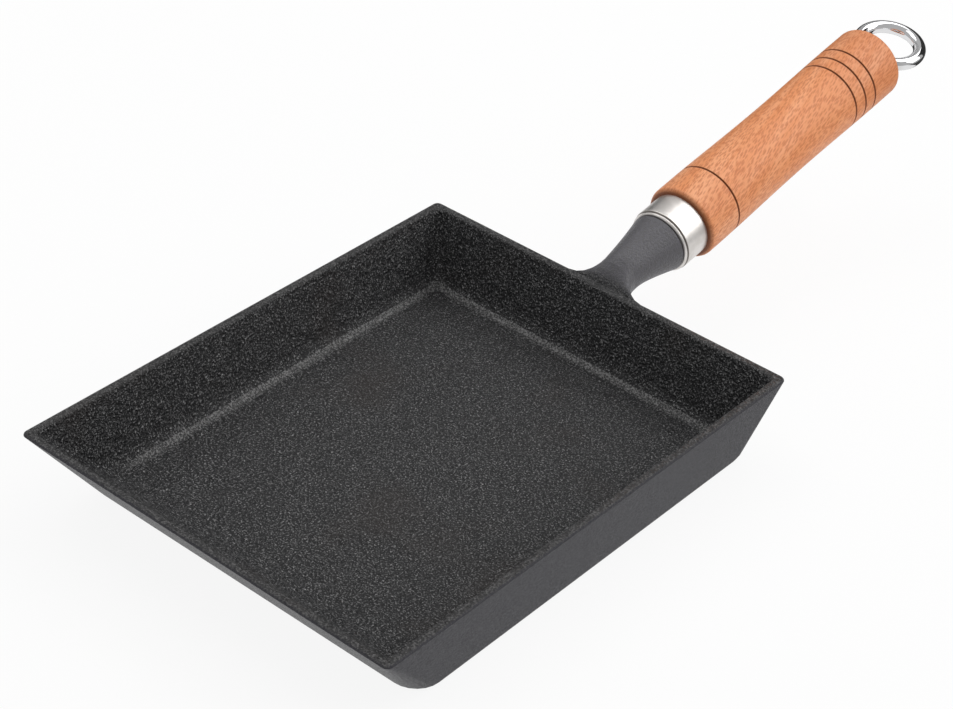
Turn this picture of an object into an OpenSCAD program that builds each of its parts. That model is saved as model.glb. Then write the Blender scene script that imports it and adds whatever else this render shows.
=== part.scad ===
// Rectangular cast iron rolled-omelette pan with a turned wooden handle and a hanging ring.
// Millimetres. The resting face lies in the plane Z = 0, with the origin at the middle of the rim's outline.
// +Z is up, +Y runs from the roll-out wall towards the handle, and +X is to the right of the handle.

/* [Pan] */
// Outside width of the rim
rim_w = 150.8; // [120:0.2:180]
// Outside length of the rim, from the roll-out wall to the handle wall
rim_l = 192.8; // [150:0.2:220]
// Height from the resting face to the top of the rim
pan_h = 30; // [26:1:40]
// Thickness of the floor
floor_t = 4; // [3:0.5:6]
// Thickness of the walls at the rim
rim_t = 3.2; // [2.6:0.1:5]
// How much thicker the walls are at the floor than at the rim
wall_growth = 1.8; // [0:0.1:3]
// How far each side wall leans out over its height
side_lean = 5.8; // [2:0.2:10]
// How far the handle wall leans out over its height
handle_wall_lean = 6.4; // [2:0.2:10]
// How far the roll-out wall leans out over its height
roll_lean = 21.9; // [14:0.1:28]
// Radius of the four outside corners at the rim
rim_corner_r = 2.2; // [2:0.2:6]
// Radius of the four outside corners at the resting face
base_corner_r = 9.5; // [4:0.5:14]
// Radius of the rounded edges along the rim
rim_edge_r = 0.8; // [0.4:0.1:1.2]
// Radius of the rounded edge round the resting face
base_edge_r = 2.2; // [1:0.2:4]
// Radius of the inside fillet between the floor and the upright walls
floor_fillet_r = 7; // [4:0.5:10]
// Radius of the inside sweep between the floor and the roll-out wall
roll_fillet_r = 26; // [12:1:32]

/* [Neck] */
// How far below the rim's top the handle's axis meets the rim's outer line
axis_drop = 1.9; // [0:0.1:4]
// Angle at which the handle rises
handle_pitch = 10.6; // [5:0.2:20]
// Length of the neck along the handle's axis, from the rim to the face that the ferrule seats on
neck_l = 30.8; // [26:0.2:45]
// Diameter of the neck at its waist
neck_waist_d = 14; // [13:0.1:20]
// Distance from the rim to the neck's waist
neck_waist_at = 7; // [5:0.5:10]
// How far the neck's middle line lies above the handle's axis at the waist
neck_rise = 1.5; // [0:0.1:2.5]
// Diameter of the neck's end, where the ferrule seats
socket_d = 22.4; // [20.2:0.2:23]
// Radius of the fillets where the neck grows out of the wall
neck_flare_r = 8.5; // [4:0.5:10]
// How deep the neck's root reaches down the wall below the handle's axis
neck_root_depth = 15; // [12:0.5:18]
// How far the rod screws into the neck
thread_depth = 17; // [12:0.5:20]

/* [Ferrule] */
// Length of the ferrule
ferrule_l = 12.1; // [8:0.1:16]
// Outside diameter of the ferrule
ferrule_d = 24; // [23.4:0.2:25]
// Thickness of the ferrule's metal
ferrule_t = 0.6; // [0.4:0.1:0.8]
// Width of the rolled bead at the ferrule's front
bead_w = 1.3; // [0.8:0.1:2]
// How much lower the bead stands than the ferrule's outside
bead_step = 0.25; // [0.1:0.05:0.25]

/* [Handle] */
// Length of the wooden handle behind the ferrule
handle_l = 117; // [100:0.5:140]
// Diameter of the handle near its two ends
handle_d = 28.1; // [27:0.1:32]
// Diameter of the handle at its waist
handle_waist_d = 27; // [25:0.2:30]
// Radius of the rounded shoulder behind the ferrule
shoulder_r = 2; // [1:0.1:2.4]
// Radius of the rounded edge at the handle's end
end_edge_r = 1.6; // [0.8:0.1:3]
// Depth of the turned grooves
groove_depth = 0.5; // [0.2:0.05:0.8]
// Width of the turned grooves
groove_w = 0.9; // [0.5:0.1:1.6]
// Distance from the shoulder to the front groove
front_groove_at = 15.9; // [10:0.1:30]
// Distance from the handle's end to the last groove
end_groove_at = 16.3; // [8:0.1:20]
// Spacing of the grooves near the handle's end
groove_pitch = 6; // [4:0.1:9]
// Number of grooves near the handle's end
end_grooves = 3; // [1:1:4]

/* [Rod and ring] */
// Diameter of the rod that holds the handle on
rod_d = 6; // [5:0.5:7]
// Clearance all round the rod in the wood
rod_clearance = 0.3; // [0.1:0.05:0.6]
// Diameter of the ring's wire
wire_d = 4.75; // [3.5:0.05:5.5]
// Inside diameter of the ring
ring_id = 18.4; // [16:0.2:24]
// Gap between the ring's wire and the handle's end
ring_gap = 0.35; // [0.3:0.05:1]
// Clearance all round the wire in the eye
eye_clearance = 0.5; // [0.45:0.05:0.8]
// Metal left round the eye's hole
eye_wall = 2; // [1.6:0.1:2.6]
// Thickness of the flattened eye
eye_t = 3.2; // [2.4:0.1:3.6]
// Thickness of the rod's collar, which bears on the wood
collar_t = 1.4; // [1:0.1:2]
// Gap between the eye's collar and the wall of its recess
recess_gap = 0.7; // [0.4:0.1:1.2]
// How far the eye is turned about the rod when the handle is tight
eye_turn = 8; // [-45:1:45]
// How far the ring droops below the line of the handle
ring_droop = 5; // [0:1:60]

/* [Hidden] */

// Smoothness of the turned and drilled faces
round_fn = 96;
// Steps of the small rounded edges, of each corner and of the floor's sweep
edge_steps = 3;
corner_steps = 6;
sweep_steps = 12;
// Points round each cross-section of the neck, and steps along it
neck_points = 44;
flare_steps = 5;
neck_steps = 11;
// Steps along the handle's waist
waist_steps = 20;
// A cut runs this far past the face that it opens
past = 1;
// Gap between pieces that push together
slip = 0.03;

// Stations along the handle's axis, measured from the rim's outer line
ferrule_at = neck_l;
shoulder_at = ferrule_at + ferrule_l;
end_at = shoulder_at + handle_l;
eye_r = wire_d / 2 + eye_clearance + eye_wall;
eye_at = end_at + wire_d / 2 + ring_gap;
ring_r = (ring_id + wire_d) / 2;
// Share of the collar's thickness that the eye's rim is sunk into
eye_sunk_share = 0.3;
recess_floor_at = eye_at - eye_r - collar_t * (1 - eye_sunk_share);
recess_r = eye_r + recess_gap;

// Height of the rim's widest line, below its rounded edges
rim_line_h = pan_h - rim_edge_r;

// Outer faces of the pan at height z, and the inner faces from a wall that thickens downwards
function depth_share(z) = max(0, 1 - z / rim_line_h);
function outer_x(z) = rim_w / 2 - side_lean * depth_share(z);
function outer_back(z) = rim_l / 2 - handle_wall_lean * depth_share(z);
function outer_front(z) = rim_l / 2 - roll_lean * depth_share(z);
function wall_at(z) = rim_t + wall_growth * depth_share(z);
function outer_corner(z) = rim_corner_r + (base_corner_r - rim_corner_r) * depth_share(z);

// One closed outline of the pan at height z: half width, reach to the front and back, corner radius
corner_sides = [[1, 1], [-1, 1], [-1, -1], [1, -1]];
function outline(x, front, back, r, z) = [
    for (corner = [0:3])
        for (k = [0:corner_steps])
            let (
                a = 90 * (corner + k / corner_steps),
                side = corner_sides[corner],
                reach = side[1] > 0 ? back : front
            ) [side[0] * (x - r) + r * cos(a), side[1] * (reach - r) + r * sin(a), z]
];
// Least radius that an inset outline keeps at its corners
least_corner_r = 0.3;
function outer_outline(z, inset) =
    outline(outer_x(z) - inset, outer_front(z) - inset, outer_back(z) - inset,
            max(outer_corner(z) - inset, least_corner_r), z);

// Distance from the middle to an inner wall at height h above the floor, with its fillet of radius r.
// foot is where the straight wall would meet the floor, and lean is its slope.
function swept(h, foot, lean, r) =
    let (b = atan(lean), middle = foot - r * (1 - sin(b)) / cos(b))
        h >= r * (1 - sin(b)) ? foot + h * lean : middle + sqrt(max(0, r * r - (r - h) * (r - h)));
function inner_lean(lean) = (lean + wall_growth) / rim_line_h;

// The inside corners are this share of the floor's fillet wider at the floor than at the rim
corner_growth = 0.35;
function inner_corner(h) = rim_corner_r + floor_fillet_r * corner_growth * (1 - h / (pan_h - floor_t));
function inner_outline(h, inset) =
    let (
        z = floor_t + h,
        t = wall_at(floor_t),
        x = swept(h, outer_x(floor_t) - t, inner_lean(side_lean), floor_fillet_r),
        front = swept(h, outer_front(floor_t) - t, inner_lean(roll_lean), roll_fillet_r),
        back = swept(h, outer_back(floor_t) - t, inner_lean(handle_wall_lean), floor_fillet_r)
    ) outline(x + inset, front + inset, back + inset, inner_corner(h), z);

// Height above the floor at which the roll-out wall's sweep ends
sweep_h = roll_fillet_r * (1 - sin(atan(inner_lean(roll_lean))));

// Outlines of the shell in order: up the outside, over the rim, down the inside to the floor
shell_rings = concat(
    [for (k = [0:edge_steps])
        let (a = 90 * k / edge_steps)
            outer_outline(base_edge_r * (1 - cos(a)), base_edge_r * (1 - sin(a)))],
    [for (k = [0:edge_steps])
        let (a = 90 * k / edge_steps)
            outer_outline(pan_h - rim_edge_r * (1 - sin(a)), rim_edge_r * (1 - cos(a)))],
    [for (k = [0:edge_steps])
        let (a = 90 * k / edge_steps)
            inner_outline(pan_h - floor_t - rim_edge_r * (1 - cos(a)), rim_edge_r * (1 - sin(a)))],
    [for (k = [sweep_steps:-1:0]) inner_outline(sweep_h * pow(k / sweep_steps, 2), 0)]
);

// Skin over a list of closed outlines with equal numbers of points, capped at both ends
module lofted(rings) {
    n = len(rings[0]);
    last = len(rings) - 1;
    points = [for (ring = rings) for (p = ring) p];
    sides = [for (j = [0:last - 1]) for (i = [0:n - 1]) for (half = [0, 1])
        let (a = j * n + i, b = j * n + (i + 1) % n)
            half == 0 ? [a, a + n, b] : [b, a + n, b + n]];
    caps = [[for (i = [0:n - 1]) i], [for (i = [n - 1:-1:0]) last * n + i]];
    polyhedron(points = points, faces = concat(sides, caps), convexity = 6);
}

// Children drawn along +Z are carried onto the handle's axis, with their X kept
module on_handle_axis() {
    translate([0, rim_l / 2, pan_h - axis_drop]) rotate([handle_pitch - 90, 0, 0]) children();
}

// Share of the way from station a to the socket, none before a
function share_from(a, s) = max(0, (s - a) / (neck_l - a));

// Radius of the neck at station s, from its waist to the socket. The power sets how late it widens.
flare_power = 1.4;
function neck_r(s) =
    neck_waist_d / 2 + (socket_d - neck_waist_d) / 2 * pow(share_from(neck_waist_at, s), flare_power);

// Lengths over which the root's top and its underside run into the neck
top_root_l = neck_l / 3;
under_root_l = neck_l / 2;

// Height of the neck's middle line over the handle's axis, which it meets at the socket
lift_power = 1.3;
function neck_lift(s) = neck_rise * (1 - pow(share_from(top_root_l, s), lift_power));

// Height of the root's top over the handle's axis: it runs out this far under the rim's top face
under_rim = 0.1;
root_top = axis_drop - under_rim;

// Share of the root's shape that is left at station s
function root_share(s, reach) = pow(max(0, 1 - s / reach), 2);

// One cross-section of the neck at station s, widened by flare and drawn in by trim.
// It stands square to the axis at the waist and lies on the wall's outer face at the root,
// where it is squarer than a circle.
root_squareness = 0.6;
function neck_section(s, flare, trim) =
    let (
        r = neck_r(s) - trim,
        top = r - (neck_waist_d / 2 + neck_rise - root_top) * root_share(s, top_root_l),
        bottom = r + (neck_root_depth + neck_rise - neck_waist_d / 2) * root_share(s, under_root_l),
        on_wall = root_share(s, under_root_l),
        power = 2 / (2 + root_squareness * root_share(s, top_root_l))
    ) [
        for (k = [0:neck_points - 1])
            let (
                a = -360 * k / neck_points,
                x = (r + flare) * sign(cos(a)) * pow(abs(cos(a)), power),
                h = neck_lift(s) + (sin(a) > 0 ? top : bottom) * sign(sin(a)) * pow(abs(sin(a)), power),
                z = pan_h - axis_drop + s * sin(handle_pitch) + h * cos(handle_pitch),
                square_y = rim_l / 2 - h * sin(handle_pitch)
            ) [x, s * cos(handle_pitch) + square_y + (outer_back(z) - square_y) * on_wall, z]
    ];

// The root lies in the middle of the handle wall's thickness
function rooted(section) = [
    for (p = section) [p[0], outer_back(p[2]) - wall_at(p[2]) / 2, p[2]]
];

neck_rings = concat(
    [rooted(neck_section(0, neck_flare_r, 0))],
    [for (k = [0:flare_steps])
        let (a = 90 * k / flare_steps)
            neck_section(neck_flare_r * (1 - cos(a)), neck_flare_r * (1 - sin(a)), 0)],
    [for (k = [1:neck_steps])
        neck_section(neck_flare_r + (neck_l - rim_edge_r - neck_flare_r) * k / neck_steps, 0, 0)],
    [for (k = [1:edge_steps])
        let (a = 90 * k / edge_steps)
            neck_section(neck_l - rim_edge_r * (1 - sin(a)), 0, rim_edge_r * (1 - cos(a)))]
);

// One casting: the body with its walls and floor, and the neck with its threaded hole
module pan() {
    color([0.13, 0.13, 0.14]) difference() {
        union() {
            lofted(shell_rings);
            lofted(neck_rings);
        }
        on_handle_axis()
            translate([0, 0, neck_l - thread_depth])
                cylinder(d = rod_d + 2 * slip, h = thread_depth + past, $fn = round_fn);
    }
}

// Drawn cup with a bead and a fine groove at its front edge, which binds the front of the wood
module ferrule() {
    outer = ferrule_d / 2;
    // The groove cuts this share of the metal
    groove_share = 0.75;
    groove_r = outer - ferrule_t * groove_share;
    edge_r = outer - groove_r;
    bead_middle = outer - bead_step - bead_w / 2;
    bead_sweep = 180 - asin((groove_r - bead_middle) / (bead_w / 2));
    color([0.78, 0.77, 0.75]) on_handle_axis() translate([0, 0, ferrule_at]) rotate_extrude($fn = round_fn)
        polygon(concat(
            [[rod_d / 2 + rod_clearance, 0]],
            [for (k = [0:2 * edge_steps]) let (a = bead_sweep * k / (2 * edge_steps))
                [bead_middle + bead_w / 2 * sin(a), bead_w * (1 - cos(a)) / 2]],
            [for (k = [0:edge_steps]) let (a = 90 * k / edge_steps)
                [groove_r + edge_r * sin(a), bead_w + edge_r * (1 - cos(a))]],
            [[outer, ferrule_l], [outer - ferrule_t, ferrule_l], [outer - ferrule_t, ferrule_t],
             [rod_d / 2 + rod_clearance, ferrule_t]]
        ));
}

// Radius of the turned handle at distance d behind the shoulder, without its grooves.
// It runs straight for some edge radii at each end, and the waist lies between.
straight_edges = 2.4;
function handle_r(d) =
    let (
        run = handle_l - 2 * (shoulder_r + end_edge_r) * straight_edges,
        t = min(1, abs(d - handle_l / 2) / (run / 2))
    ) handle_waist_d / 2 + (handle_d - handle_waist_d) / 2 * (1 - cos(180 * t)) / 2;

// Turned beech grip: a tenon inside the ferrule, a rounded shoulder, a slight waist and a rounded end
module turned_blank() {
    tenon_r = ferrule_d / 2 - ferrule_t - slip;
    shoulder_side = handle_r(shoulder_r);
    end_side = handle_r(handle_l - end_edge_r);
    rotate_extrude($fn = round_fn) polygon(concat(
        [[0, ferrule_t + slip - ferrule_l], [tenon_r, ferrule_t + slip - ferrule_l], [tenon_r, 0]],
        [for (k = [0:2 * edge_steps]) let (a = 90 * k / (2 * edge_steps))
            [shoulder_side - shoulder_r * (1 - sin(a)), shoulder_r * (1 - cos(a))]],
        [for (k = [1:waist_steps - 1])
            let (d = shoulder_r + (handle_l - shoulder_r - end_edge_r) * k / waist_steps) [handle_r(d), d]],
        [for (k = [0:2 * edge_steps]) let (a = 90 * k / (2 * edge_steps))
            [end_side - end_edge_r * (1 - cos(a)), handle_l - end_edge_r * (1 - sin(a))]],
        [[0, handle_l]]
    ));
}

// A turned V groove at distance d behind the shoulder, with a narrow flat bottom
module groove(d) {
    r = handle_r(d);
    bottom_w = groove_w / 3;
    mouth_w = groove_w + past;
    rotate_extrude($fn = round_fn)
        polygon([[r - groove_depth, d - bottom_w / 2], [r + past, d - mouth_w / 2],
                 [r + past, d + mouth_w / 2], [r - groove_depth, d + bottom_w / 2]]);
}

module handle() {
    color([0.80, 0.50, 0.30]) on_handle_axis() translate([0, 0, shoulder_at]) difference() {
        turned_blank();
        translate([0, 0, -ferrule_l - past])
            cylinder(r = rod_d / 2 + rod_clearance, h = handle_l + ferrule_l + 2 * past, $fn = round_fn);
        translate([0, 0, recess_floor_at - shoulder_at])
            cylinder(r = recess_r, h = end_at - recess_floor_at + past, $fn = round_fn);
        groove(front_groove_at);
        for (k = [0:end_grooves - 1]) groove(handle_l - end_groove_at - k * groove_pitch);
    }
}

// Long rod that screws into the neck and clamps the wood with its collar, flattened to an eye at the end
module handle_rod() {
    rod_from = neck_l - thread_depth + past;
    color([0.72, 0.72, 0.73]) on_handle_axis() difference() {
        union() {
            translate([0, 0, rod_from])
                cylinder(d = rod_d, h = recess_floor_at - rod_from + slip, $fn = round_fn);
            translate([0, 0, recess_floor_at])
                cylinder(r = eye_r, h = collar_t, $fn = round_fn);
            translate([0, 0, eye_at]) rotate([0, 90, eye_turn])
                cylinder(r = eye_r, h = eye_t, center = true, $fn = round_fn);
        }
        translate([0, 0, eye_at]) rotate([0, 90, eye_turn])
            cylinder(r = wire_d / 2 + eye_clearance, h = 2 * eye_r, center = true, $fn = round_fn);
    }
}

// Round wire ring that hangs in the eye
module ring() {
    color([0.86, 0.86, 0.88]) on_handle_axis() translate([0, 0, eye_at])
        rotate([0, 0, eye_turn]) rotate([-ring_droop, 0, 0]) translate([0, 0, ring_r]) rotate([90, 0, 0])
            rotate_extrude($fn = round_fn) translate([ring_r, 0]) circle(d = wire_d, $fn = round_fn / 2);
}

pan();
ferrule();
handle();
handle_rod();
ring();
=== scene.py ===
import math

import bpy
from mathutils import Matrix, Vector

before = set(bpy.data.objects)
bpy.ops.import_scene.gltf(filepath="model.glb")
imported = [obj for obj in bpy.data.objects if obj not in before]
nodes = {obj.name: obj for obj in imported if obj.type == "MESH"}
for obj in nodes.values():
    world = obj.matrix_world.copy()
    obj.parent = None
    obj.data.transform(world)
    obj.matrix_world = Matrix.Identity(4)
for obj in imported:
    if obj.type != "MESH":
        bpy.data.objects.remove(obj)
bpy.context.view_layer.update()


# The pan is one sand casting in grey iron: body, leaning roll-out wall and neck together. Its
# inside keeps the pebbled skin of the mould, the outside walls and the neck are dressed smoother,
# and baked oil seasons it black. A paler line along the floor's fillet is a painted highlight.
MM = 0.001


def blank_material(name):
    """A material with an empty tree but for its shader; returns the material, the tree and the shader."""
    material = bpy.data.materials.new(name)
    material.use_nodes = True
    tree = material.node_tree
    tree.nodes.clear()
    shader = tree.nodes.new("ShaderNodeBsdfPrincipled")
    out = tree.nodes.new("ShaderNodeOutputMaterial")
    tree.links.new(shader.outputs["BSDF"], out.inputs["Surface"])
    return material, tree, shader


def place_on(tree, frame_matrix=None):
    """The point on the surface in metres, in the row's frame or in the given frame."""
    coord = tree.nodes.new("ShaderNodeTexCoord")
    if frame_matrix is None:
        return coord.outputs["Object"]
    inverse = frame_matrix.inverted()
    turn = tree.nodes.new("ShaderNodeMapping")
    turn.inputs["Location"].default_value = inverse.to_translation()
    turn.inputs["Rotation"].default_value = inverse.to_euler()
    tree.links.new(coord.outputs["Object"], turn.inputs["Vector"])
    return turn.outputs["Vector"]


def part_of(tree, place, axis):
    """One coordinate of a place."""
    node = tree.nodes.new("ShaderNodeSeparateXYZ")
    tree.links.new(place, node.inputs["Vector"])
    return node.outputs[axis]


def stretched(tree, place, stretch):
    """The place multiplied by a stretch along each of its axes."""
    node = tree.nodes.new("ShaderNodeVectorMath")
    node.operation = "MULTIPLY"
    tree.links.new(place, node.inputs[0])
    node.inputs[1].default_value = stretch
    return node.outputs["Vector"]


def noise(tree, place, scale, detail=2.0, roughness=0.5):
    node = tree.nodes.new("ShaderNodeTexNoise")
    tree.links.new(place, node.inputs["Vector"])
    node.inputs["Scale"].default_value = scale
    node.inputs["Detail"].default_value = detail
    node.inputs["Roughness"].default_value = roughness
    return node.outputs["Fac"]


def between(tree, value, low, high, to_low=0.0, to_high=1.0):
    """A smooth step from to_low to to_high as value goes from low to high."""
    node = tree.nodes.new("ShaderNodeMapRange")
    node.interpolation_type = "SMOOTHSTEP"
    tree.links.new(value, node.inputs["Value"])
    node.inputs["From Min"].default_value = low
    node.inputs["From Max"].default_value = high
    node.inputs["To Min"].default_value = to_low
    node.inputs["To Max"].default_value = to_high
    return node.outputs["Result"]


def reckon(tree, operation, a, b=None):
    """One sum on two values, each a number or a socket."""
    node = tree.nodes.new("ShaderNodeMath")
    node.operation = operation
    for socket, value in zip(node.inputs, (a, b)):
        if value is None:
            continue
        if isinstance(value, (int, float)):
            socket.default_value = value
        else:
            tree.links.new(value, socket)
    return node.outputs["Value"]


def blended(tree, share, first, second):
    """Two colours mixed by share; each is a tuple or a socket."""
    node = tree.nodes.new("ShaderNodeMix")
    node.data_type = "RGBA"
    tree.links.new(share, node.inputs[0])
    for socket, colour in zip((node.inputs[6], node.inputs[7]), (first, second)):
        if isinstance(colour, tuple):
            socket.default_value = (*colour, 1.0)
        else:
            tree.links.new(colour, socket)
    return node.outputs[2]


def relief(tree, height, depth, strength=1.0, under=None):
    """A bump of the given depth in metres, laid over the bump under it."""
    node = tree.nodes.new("ShaderNodeBump")
    tree.links.new(height, node.inputs["Height"])
    node.inputs["Distance"].default_value = depth
    if isinstance(strength, (int, float)):
        node.inputs["Strength"].default_value = strength
    else:
        tree.links.new(strength, node.inputs["Strength"])
    if under is not None:
        tree.links.new(under, node.inputs["Normal"])
    return node.outputs["Normal"]


def dress(node_name, material):
    """Gives a node its finish."""
    piece = nodes[node_name]
    piece.data.materials.clear()
    piece.data.materials.append(material)


IRON_BLACK = (0.007, 0.007, 0.008)
IRON_GREY = (0.330, 0.328, 0.330)
IRON_DRESSED = (0.031, 0.030, 0.038)
# The neck's colour is painted lighter and a little purple, as the light it catches.
IRON_NECK_LIT = (0.105, 0.101, 0.116)
IRON_WORN = (0.100, 0.098, 0.098)
# The colour of the painted highlight on the fillet round the floor.
IRON_FILLET_HIGHLIGHT = (0.270, 0.268, 0.266)
IRON_BROWN = (0.030, 0.021, 0.017)
IRON_ROUGHNESS = (0.28, 0.48)
IRON_SHEEN = 0.48
DRESSED_SHEEN = 0.14

PAN_HALF_W = 75.4 * MM
PAN_HALF_L = 96.4 * MM
RIM_TOP = 30.0 * MM
PEBBLE = 1.15 * MM
PEBBLE_SOFTNESS = 0.35
PEBBLE_DEPTH = 0.30 * MM
DRESSED_PEBBLES = 0.15
GRAIN = 0.56 * MM
GRAIN_DEPTH = 0.62 * MM
DRESSED_GRAINS = 0.40
PATCHES_A_METRE = 22.0

FACES_OUT = (0.15, 0.5)
NECK_BEGINS = (PAN_HALF_L - 0.5 * MM, PAN_HALF_L + 3.0 * MM)
RIM_RUB = (RIM_TOP - 0.9 * MM, RIM_TOP - 0.1 * MM)
BASE_SCUFF = (0.05 * MM, 0.5 * MM)
CORNER_TOO_STEEP = (0.70, 0.79)
CORNER_TOO_FLAT = (0.91, 0.965)
CORNER_TOP = (6.0 * MM, 7.0 * MM)
# Where the painted highlight on the floor's fillet begins along the pan.
HIGHLIGHT_FROM = (-68.0 * MM, -56.0 * MM)


def mould_skin(tree, place):
    """The heights of the round pebbles and of the finer grains, each from 0 to 1."""
    cells = tree.nodes.new("ShaderNodeTexVoronoi")
    cells.feature = "SMOOTH_F1"
    tree.links.new(place, cells.inputs["Vector"])
    cells.inputs["Scale"].default_value = 1.0 / PEBBLE
    cells.inputs["Smoothness"].default_value = PEBBLE_SOFTNESS
    pebbles = between(tree, cells.outputs["Distance"], 0.05, 0.75, 1.0, 0.0)
    return pebbles, noise(tree, place, 1.0 / GRAIN, detail=2.0, roughness=0.65)


def outer_walls(tree, place, normal):
    """1 where the casting faces away from its middle."""
    outward = tree.nodes.new("ShaderNodeVectorMath")
    outward.operation = "DOT_PRODUCT"
    tree.links.new(stretched(tree, place, (1.0 / PAN_HALF_W, 1.0 / PAN_HALF_L, 0.0)), outward.inputs[0])
    tree.links.new(normal, outward.inputs[1])
    return between(tree, outward.outputs["Value"], *FACES_OUT)


def painted_fillet_highlight(tree, place, normal, grains):
    """A painted highlight on the fillet round the floor, at a middle slope, broken up by the grain."""
    rise = part_of(tree, normal, "Z")
    corner = reckon(tree, "MULTIPLY", between(tree, rise, *CORNER_TOO_STEEP),
                    between(tree, rise, *CORNER_TOO_FLAT, 1.0, 0.0))
    low = between(tree, part_of(tree, place, "Z"), *CORNER_TOP, 1.0, 0.0)
    reach = between(tree, part_of(tree, place, "Y"), *HIGHLIGHT_FROM)
    line = reckon(tree, "MULTIPLY", reckon(tree, "MULTIPLY", corner, low), reach)
    return reckon(tree, "MULTIPLY", line, between(tree, grains, 0.44, 0.58, 0.12, 0.75))


def seasoned_iron():
    material, tree, shader = blank_material("seasoned_iron")
    place = place_on(tree)
    normal = tree.nodes.new("ShaderNodeNewGeometry").outputs["Normal"]
    pebbles, grains = mould_skin(tree, place)
    patches = noise(tree, place, PATCHES_A_METRE, detail=2.0)
    on_neck = between(tree, part_of(tree, place, "Y"), *NECK_BEGINS)
    walls = outer_walls(tree, place, normal)
    outside = reckon(tree, "MAXIMUM", walls, on_neck)

    speck = reckon(tree, "MULTIPLY", between(tree, grains, 0.53, 0.62),
                   between(tree, pebbles, 0.30, 0.85, 0.45, 1.0))
    skin = blended(tree, speck, IRON_BLACK, IRON_GREY)
    browned = blended(tree, between(tree, patches, 0.52, 0.78, 0.0, 0.5), skin, IRON_BROWN)
    # Painted highlight: the neck is painted lighter than the dressed walls of the same iron.
    dressed_and_lit_neck = blended(tree, on_neck, IRON_DRESSED, IRON_NECK_LIT)
    specked = blended(tree, between(tree, grains, 0.48, 0.66, 0.0, 0.55), dressed_and_lit_neck, IRON_BLACK)
    faced = blended(tree, outside, browned, specked)

    height = part_of(tree, place, "Z")
    rubbed = reckon(tree, "MULTIPLY", between(tree, height, *RIM_RUB),
                    between(tree, grains, 0.46, 0.62, 0.15, 0.8))
    scuffed = reckon(tree, "MULTIPLY", between(tree, height, *BASE_SCUFF, 1.0, 0.0),
                     between(tree, patches, 0.45, 0.6))
    worn = blended(tree, reckon(tree, "MAXIMUM", rubbed, scuffed), faced, IRON_WORN)
    # Painted highlight: the fillet round the floor is painted paler.
    highlighted = blended(tree, painted_fillet_highlight(tree, place, normal, grains), worn, IRON_FILLET_HIGHLIGHT)
    tree.links.new(highlighted, shader.inputs["Base Color"])
    tree.links.new(between(tree, grains, 0.3, 0.7, *IRON_ROUGHNESS), shader.inputs["Roughness"])
    tree.links.new(between(tree, walls, 0.0, 1.0, IRON_SHEEN, DRESSED_SHEEN),
                   shader.inputs["Specular IOR Level"])

    coarse = relief(tree, pebbles, PEBBLE_DEPTH, between(tree, outside, 0.0, 1.0, 1.0, DRESSED_PEBBLES))
    fine = relief(tree, grains, GRAIN_DEPTH, between(tree, outside, 0.0, 1.0, 1.0, DRESSED_GRAINS), coarse)
    tree.links.new(fine, shader.inputs["Normal"])
    return material


dress("pan", seasoned_iron())


# The ferrule is a cup drawn from stainless sheet, with a rolled bead at its front edge. A lathe
# left fine rings round it, and it is pressed over the front of the wood. The groove behind the
# bead is painted dark as shade.
HANDLE_PITCH = math.radians(10.6)
AXIS_HEIGHT = 28.1 * MM
handle_frame = (Matrix.Translation((0.0, PAN_HALF_L, AXIS_HEIGHT))
                @ Matrix.Rotation(HANDLE_PITCH - math.pi / 2, 4, "X"))
STAINLESS = (0.88, 0.845, 0.815)
STAINLESS_DULL = (0.74, 0.705, 0.67)
STAINLESS_ROUGHNESS = (0.32, 0.44)
# The colour painted as shade in the groove behind the bead.
GROOVE_SHADE = (0.16, 0.14, 0.125)
GROOVE_SHADE_SHARE = 0.8
LATHE_LINE = 0.16 * MM
LATHE_DEPTH = 0.012 * MM
LATHE_DRIFT = 40.0
HAZE_A_METRE = 160.0
FERRULE_FROM = 30.8 * MM
BEAD_W = 1.3 * MM


def near_station(tree, station, middle, half, soft):
    """1 within half of the middle station, falling to 0 over soft."""
    away = reckon(tree, "ABSOLUTE", reckon(tree, "SUBTRACT", station, middle))
    return between(tree, away, half, half + soft, 1.0, 0.0)


def turned_stainless():
    material, tree, shader = blank_material("turned_stainless")
    place = place_on(tree, handle_frame)
    lines = noise(tree, stretched(tree, place, (LATHE_DRIFT, LATHE_DRIFT, 1.0 / LATHE_LINE)), 1.0, detail=3.0)
    haze = noise(tree, place, HAZE_A_METRE, detail=3.0)
    metal = blended(tree, between(tree, haze, 0.35, 0.7), STAINLESS, STAINLESS_DULL)
    groove = near_station(tree, part_of(tree, place, "Z"), FERRULE_FROM + BEAD_W, 0.16 * MM, 0.22 * MM)
    # Painted shade: the groove behind the bead is darkened.
    groove_shaded = blended(tree, reckon(tree, "MULTIPLY", groove, GROOVE_SHADE_SHARE), metal, GROOVE_SHADE)
    tree.links.new(groove_shaded, shader.inputs["Base Color"])
    shader.inputs["Metallic"].default_value = 1.0
    tree.links.new(between(tree, lines, 0.3, 0.7, *STAINLESS_ROUGHNESS), shader.inputs["Roughness"])
    tree.links.new(relief(tree, lines, LATHE_DEPTH), shader.inputs["Normal"])
    return material


dress("ferrule", turned_stainless())


# The handle is steamed beech turned on a lathe and oiled. Its grooves were burnt brown with a wire
# while it spun. The rounded shoulder behind the ferrule is painted darker as shade. The grain runs a
# little off the axis, so the rays show as short dark flecks at a slant.
HANDLE_FROM = 42.9 * MM
GROOVES = (58.8 * MM, 131.6 * MM, 137.6 * MM, 143.6 * MM)
HANDLE_END = 159.9 * MM
GRAIN_RUN = Vector((-0.19, 0.93, 0.31)).normalized()
BEECH = (0.80, 0.305, 0.122)
BEECH_PALE = (0.88, 0.395, 0.195)
# The colour the wood is painted towards the handle's end.
BEECH_FLECK = (0.52, 0.150, 0.050)
BEECH_DARKER = (0.46, 0.135, 0.048)
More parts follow.
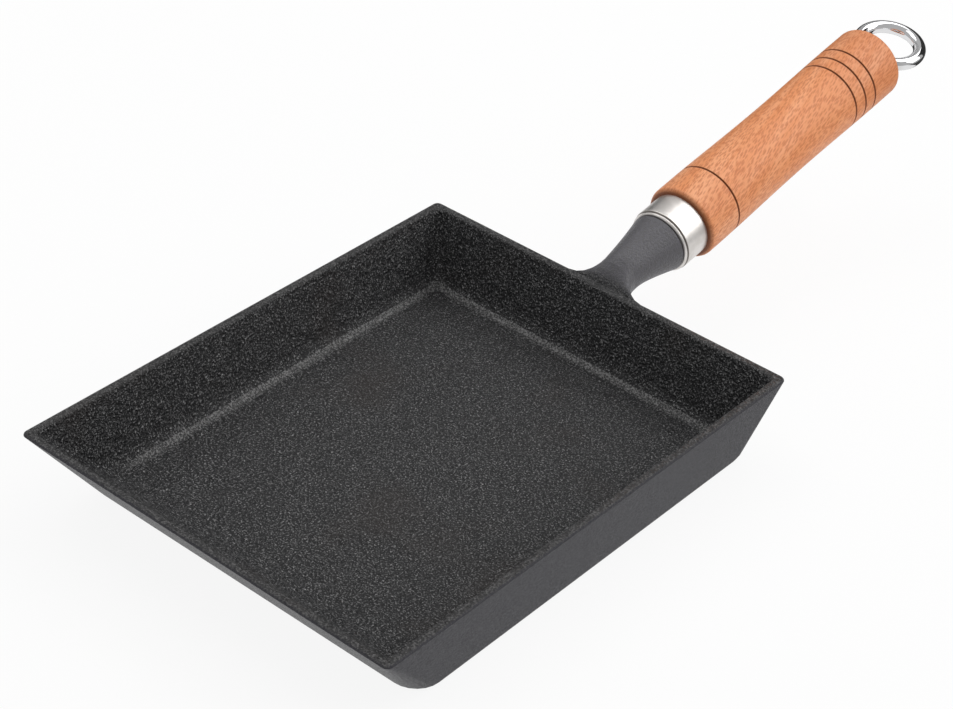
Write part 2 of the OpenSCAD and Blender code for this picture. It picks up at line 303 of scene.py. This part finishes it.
# The burnt colour of the grooves, also used as painted shade on the shoulder.
BURNT_AND_SHADE = (0.19, 0.055, 0.018)
BEECH_ROUGHNESS = (0.38, 0.55)
BEECH_SHEEN = 0.35
GROWTH_STRETCH = (240.0, 80.0, 8.0)
PORE_STRETCH = (2400.0, 2400.0, 260.0)
PORE_DEPTH = 0.03 * MM
RAY_STRETCH = (1500.0, 1500.0, 330.0)
RAY_SHARE = 0.62
DARKER_FROM = 118.0 * MM
DARKER_SHARE = 0.25
GROOVE_HALF = 0.18 * MM
GROOVE_SOFT = 0.5 * MM
SHOULDER = (HANDLE_FROM + 0.3 * MM, HANDLE_FROM + 1.8 * MM)
BY_FERRULE = (12.6 * MM, 13.6 * MM)
HAND_DIRT = 0.18


def from_axis(tree, place):
    """The distance from the handle's axis."""
    length = tree.nodes.new("ShaderNodeVectorMath")
    length.operation = "LENGTH"
    tree.links.new(stretched(tree, place, (1.0, 1.0, 0.0)), length.inputs[0])
    return length.outputs["Value"]


def beech_grain():
    """The frame whose Z runs with the fibres."""
    return GRAIN_RUN.to_track_quat("Z", "Y").to_matrix().to_4x4()


def burnt_marks_and_shade(tree, turned, station):
    """The share of the burnt colour: full in the burnt grooves, less on the shoulder as painted shade, and at
    the handled end as dirt.
    """
    burnt = near_station(tree, station, GROOVES[0], GROOVE_HALF, GROOVE_SOFT)
    for middle in GROOVES[1:]:
        burnt = reckon(tree, "MAXIMUM", burnt, near_station(tree, station, middle, GROOVE_HALF, GROOVE_SOFT))
    # Painted shade: the rounded shoulder behind the ferrule is darkened, most near the axis.
    shoulder_shade = reckon(tree, "MULTIPLY", between(tree, station, *SHOULDER, 1.0, 0.0),
                      between(tree, from_axis(tree, turned), *BY_FERRULE, 0.95, 0.45))
    handled = near_station(tree, station, HANDLE_END, 0.3 * MM, 1.2 * MM)
    return reckon(tree, "MAXIMUM", reckon(tree, "MAXIMUM", burnt, shoulder_shade),
                  reckon(tree, "MULTIPLY", handled, HAND_DIRT))


def oiled_beech():
    material, tree, shader = blank_material("oiled_beech")
    turned = place_on(tree, handle_frame)
    station = part_of(tree, turned, "Z")
    grain = place_on(tree, beech_grain())
    growth = noise(tree, stretched(tree, grain, GROWTH_STRETCH), 1.0, detail=3.0, roughness=0.6)
    pores = noise(tree, stretched(tree, grain, PORE_STRETCH), 1.0, detail=2.0, roughness=0.6)
    cells = tree.nodes.new("ShaderNodeTexVoronoi")
    cells.feature = "F1"
    tree.links.new(stretched(tree, grain, RAY_STRETCH), cells.inputs["Vector"])
    cells.inputs["Scale"].default_value = 1.0
    rays = between(tree, cells.outputs["Distance"], 0.26, 0.62, RAY_SHARE, 0.0)

    body = blended(tree, between(tree, growth, 0.35, 0.68), BEECH, BEECH_PALE)
    pored = blended(tree, between(tree, pores, 0.50, 0.74, 0.0, 0.5), body, BEECH_FLECK)
    rayed = blended(tree, rays, pored, BEECH_FLECK)
    # The wood is painted darker towards the handle's end.
    darker_to_end = blended(tree, between(tree, station, DARKER_FROM, HANDLE_END, 0.0, DARKER_SHARE), rayed, BEECH_DARKER)
    marked = blended(tree, burnt_marks_and_shade(tree, turned, station), darker_to_end, BURNT_AND_SHADE)
    tree.links.new(marked, shader.inputs["Base Color"])
    tree.links.new(between(tree, pores, 0.35, 0.7, *BEECH_ROUGHNESS), shader.inputs["Roughness"])
    shader.inputs["Specular IOR Level"].default_value = BEECH_SHEEN
    tree.links.new(relief(tree, pores, PORE_DEPTH), shader.inputs["Normal"])
    return material


dress("handle", oiled_beech())


# The rod is zinc-plated steel. It runs through the wood, screws into the neck, bears on the wood
# with a small collar in the recess at the handle's end, and is forged flat there to an eye.
ZINC = (0.66, 0.66, 0.67)
ZINC_DULL = (0.48, 0.48, 0.49)
ZINC_RUBBED = (0.36, 0.35, 0.34)
ZINC_ROUGHNESS = (0.28, 0.45)
SPANGLES_A_METRE = 420.0
SPANGLE_DEPTH = 0.02 * MM
EYE_AT = 162.6 * MM
RUBBED_SHARE = 0.35


def bright_zinc():
    material, tree, shader = blank_material("bright_zinc")
    place = place_on(tree, handle_frame)
    spangle = noise(tree, place, SPANGLES_A_METRE, detail=3.0)
    metal = blended(tree, between(tree, spangle, 0.35, 0.7), ZINC, ZINC_DULL)
    at_eye = near_station(tree, part_of(tree, place, "Z"), EYE_AT, 2.4 * MM, 0.8 * MM)
    rubbed = blended(tree, reckon(tree, "MULTIPLY", at_eye, RUBBED_SHARE), metal, ZINC_RUBBED)
    tree.links.new(rubbed, shader.inputs["Base Color"])
    shader.inputs["Metallic"].default_value = 1.0
    tree.links.new(between(tree, spangle, 0.3, 0.7, *ZINC_ROUGHNESS), shader.inputs["Roughness"])
    tree.links.new(relief(tree, spangle, SPANGLE_DEPTH), shader.inputs["Normal"])
    return material


dress("handle_rod", bright_zinc())


# The ring is bent from round steel wire, butt welded, polished and chromed. It swings in the eye,
# which has rubbed the chrome a little duller where it touches.
CHROME = (0.88, 0.88, 0.89)
CHROME_WORN = (0.72, 0.71, 0.70)
CHROME_ROUGHNESS = (0.03, 0.10)
CHROME_RUBS_A_METRE = 300.0
CHROME_RUB_DEPTH = 0.003 * MM


def polished_chrome():
    material, tree, shader = blank_material("polished_chrome")
    rubs = noise(tree, place_on(tree), CHROME_RUBS_A_METRE, detail=4.0, roughness=0.6)
    station = part_of(tree, place_on(tree, handle_frame), "Z")
    contact = reckon(tree, "MULTIPLY", near_station(tree, station, EYE_AT, 2.0 * MM, 2.5 * MM), 0.6)
    dulled = reckon(tree, "MAXIMUM", contact, between(tree, rubs, 0.50, 0.85, 0.0, 0.5))
    tree.links.new(blended(tree, dulled, CHROME, CHROME_WORN), shader.inputs["Base Color"])
    shader.inputs["Metallic"].default_value = 1.0
    tree.links.new(between(tree, rubs, 0.4, 0.8, *CHROME_ROUGHNESS), shader.inputs["Roughness"])
    tree.links.new(relief(tree, rubs, CHROME_RUB_DEPTH), shader.inputs["Normal"])
    return material


dress("ring", polished_chrome())


# The floor is a wide sheet of white paper that the pan stands on. It shows white to the camera,
# keeps a soft shadow, and is a little darker where metal mirrors it.
FLOOR_HALF = 3.0
FLOOR_DROP = 0.2 * MM
PAPER = (0.86, 0.86, 0.86)
PAPER_FIBRE = (0.88, 0.88, 0.88)
FIBRES_A_METRE = 900.0
SHOWN_WHITE = 0.90
MIRRORED_WHITE = 0.84


def seen_as(tree, to_camera, to_mirrors):
    """One value for rays from the camera, and another for those that polished metal and glass send on."""
    path = tree.nodes.new("ShaderNodeLightPath")
    mirrored = reckon(tree, "MAXIMUM", path.outputs["Is Glossy Ray"], path.outputs["Is Transmission Ray"])
    return reckon(tree, "MAXIMUM", reckon(tree, "MULTIPLY", path.outputs["Is Camera Ray"], to_camera),
                  reckon(tree, "MULTIPLY", mirrored, to_mirrors))


def white_paper():
    material, tree, shader = blank_material("white_paper")
    fibres = noise(tree, place_on(tree), FIBRES_A_METRE, detail=2.0)
    tree.links.new(blended(tree, fibres, PAPER, PAPER_FIBRE), shader.inputs["Base Color"])
    shader.inputs["Roughness"].default_value = 0.9
    shader.inputs["Specular IOR Level"].default_value = 0.1
    glow = tree.nodes.new("ShaderNodeEmission")
    tree.links.new(seen_as(tree, 1.0, MIRRORED_WHITE), glow.inputs["Strength"])
    mix = tree.nodes.new("ShaderNodeMixShader")
    tree.links.new(seen_as(tree, SHOWN_WHITE, 1.0), mix.inputs["Fac"])
    tree.links.new(shader.outputs["BSDF"], mix.inputs[1])
    tree.links.new(glow.outputs["Emission"], mix.inputs[2])
    out = [n for n in tree.nodes if n.type == "OUTPUT_MATERIAL"][0]
    tree.links.new(mix.outputs["Shader"], out.inputs["Surface"])
    return material


floor_mesh = bpy.data.meshes.new("floor")
floor_mesh.from_pydata([(-FLOOR_HALF, -FLOOR_HALF, 0.0), (FLOOR_HALF, -FLOOR_HALF, 0.0),
                        (FLOOR_HALF, FLOOR_HALF, 0.0), (-FLOOR_HALF, FLOOR_HALF, 0.0)], [], [(0, 1, 2, 3)])
floor = bpy.data.objects.new("floor", floor_mesh)
bpy.context.scene.collection.objects.link(floor)
floor.location.z = -FLOOR_DROP
floor_mesh.materials.append(white_paper())


# The studio is a white room with soft boxes high behind, high on the left and lower behind on the
# right. Dark cards stand and lie behind the handle, where only reflections show them, and give
# the steel and the chrome their dark edges.
MIDDLE = (0.0, 0.06, 0.02)
CARD_BLACK = 0.02
CARD_GREY = 0.40
CARD_AWAY = 1.45
CARD_STEPS = 10
BACK_CARD_TOP = 1.15
LOW_CARD_TOP = 0.36
GREY_CARD_TOP = 1.05
LYING_LEFT = -1.1
LYING_RIGHT = 0.9
LYING_FROM = 0.325
LYING_TO = 1.5
LYING_LIFT = 0.5 * MM
ROOM_LIGHT = 0.55
ROOM_MIRRORED = 0.45


def soft_box(name, place, target, width, height, power):
    lamp = bpy.data.lights.new(name, "AREA")
    lamp.shape = "RECTANGLE"
    lamp.size = width
    lamp.size_y = height
    lamp.energy = power
    holder = bpy.data.objects.new(name, lamp)
    holder.location = place
    holder.rotation_euler = (Vector(target) - Vector(place)).to_track_quat("-Z", "Y").to_euler()
    bpy.context.scene.collection.objects.link(holder)


soft_box("high_back_box", (0.22, 0.88, 1.20), MIDDLE, 1.1, 0.70, 5.8)
soft_box("high_left_box", (-0.78, 0.05, 1.30), MIDDLE, 0.85, 0.85, 4.8)
soft_box("back_right_box", (1.08, 1.00, 0.85), MIDDLE, 0.9, 0.9, 6.0)


def studio_card(name, points, faces, shade):
    """A card of one grey that is seen in reflections only."""
    mesh = bpy.data.meshes.new(name)
    mesh.from_pydata(points, [], faces)
    material, tree, shader = blank_material(name)
    shader.inputs["Base Color"].default_value = (shade, shade, shade, 1.0)
    shader.inputs["Roughness"].default_value = 0.9
    mesh.materials.append(material)
    card = bpy.data.objects.new(name, mesh)
    bpy.context.scene.collection.objects.link(card)
    card.visible_camera = False
    card.visible_diffuse = False
    card.visible_shadow = False


def standing_card(name, turn_from, turn_to, low, high, shade):
    """An upright card round the set, from one bearing to another in degrees."""
    points = []
    for step in range(CARD_STEPS + 1):
        turn = math.radians(turn_from + (turn_to - turn_from) * step / CARD_STEPS)
        for height in (low, high):
            points.append((CARD_AWAY * math.sin(turn), CARD_AWAY * math.cos(turn), height))
    faces = [(2 * k, 2 * k + 2, 2 * k + 3, 2 * k + 1) for k in range(CARD_STEPS)]
    studio_card(name, points, faces, shade)


standing_card("black_card_back", -16.0, 22.0, 0.0, BACK_CARD_TOP, CARD_BLACK)
standing_card("black_card_low", -80.0, -16.0, 0.0, LOW_CARD_TOP, CARD_BLACK)
standing_card("grey_card_left", -80.0, -16.0, LOW_CARD_TOP, GREY_CARD_TOP, CARD_GREY)
studio_card("black_card_lying",
            [(LYING_LEFT, LYING_FROM, LYING_LIFT), (LYING_RIGHT, LYING_FROM, LYING_LIFT),
             (LYING_RIGHT, LYING_TO, LYING_LIFT), (LYING_LEFT, LYING_TO, LYING_LIFT)],
            [(0, 1, 2, 3)], CARD_BLACK)

world = bpy.data.worlds.new("white_room")
bpy.context.scene.world = world
world.use_nodes = True
world_tree = world.node_tree
world_tree.nodes.clear()
room = world_tree.nodes.new("ShaderNodeBackground")
room.inputs["Color"].default_value = (1.0, 1.0, 1.0, 1.0)
room.inputs["Strength"].default_value = ROOM_LIGHT
seen = world_tree.nodes.new("ShaderNodeBackground")
seen.inputs["Color"].default_value = (1.0, 1.0, 1.0, 1.0)
world_tree.links.new(seen_as(world_tree, 1.0, ROOM_MIRRORED), seen.inputs["Strength"])
world_mix = world_tree.nodes.new("ShaderNodeMixShader")
world_out = world_tree.nodes.new("ShaderNodeOutputWorld")
world_tree.links.new(seen_as(world_tree, 1.0, 1.0), world_mix.inputs["Fac"])
world_tree.links.new(room.outputs["Background"], world_mix.inputs[1])
world_tree.links.new(seen.outputs["Background"], world_mix.inputs[2])
world_tree.links.new(world_mix.outputs["Shader"], world_out.inputs["Surface"])


# The camera looks down on the pan from the front right, with the handle running away from it. It
# stands where the pan's outline in the photograph puts it.
AZIMUTH = math.radians(37.95)
ELEVATION = math.radians(35.15)
ROLL = math.radians(4.33)
DISTANCE = 0.815
TARGET = Vector((-0.0173, 0.05115, 0.015))
FOCAL_PIXELS = 2435.0
IMAGE_WIDTH = 953.0
SENSOR = 36.0

back = Vector((math.sin(AZIMUTH) * math.cos(ELEVATION),
               -math.cos(AZIMUTH) * math.cos(ELEVATION), math.sin(ELEVATION)))
level = Vector((math.cos(AZIMUTH), math.sin(AZIMUTH), 0.0))
upright = back.cross(level)
right = level * math.cos(ROLL) + upright * math.sin(ROLL)
up = upright * math.cos(ROLL) - level * math.sin(ROLL)
camera_data = bpy.data.cameras.new("camera")
camera_data.sensor_fit = "HORIZONTAL"
camera_data.sensor_width = SENSOR
camera_data.lens = FOCAL_PIXELS * SENSOR / IMAGE_WIDTH
camera_data.clip_start = 0.01
camera = bpy.data.objects.new("camera", camera_data)
bpy.context.scene.collection.objects.link(camera)
turned_to_pan = Matrix((right, up, back)).transposed().to_4x4()
camera.matrix_world = Matrix.Translation(TARGET + back * DISTANCE) @ turned_to_pan
bpy.context.scene.camera = camera
bpy.context.scene.view_settings.view_transform = "Standard"

bpy.context.view_layer.update()
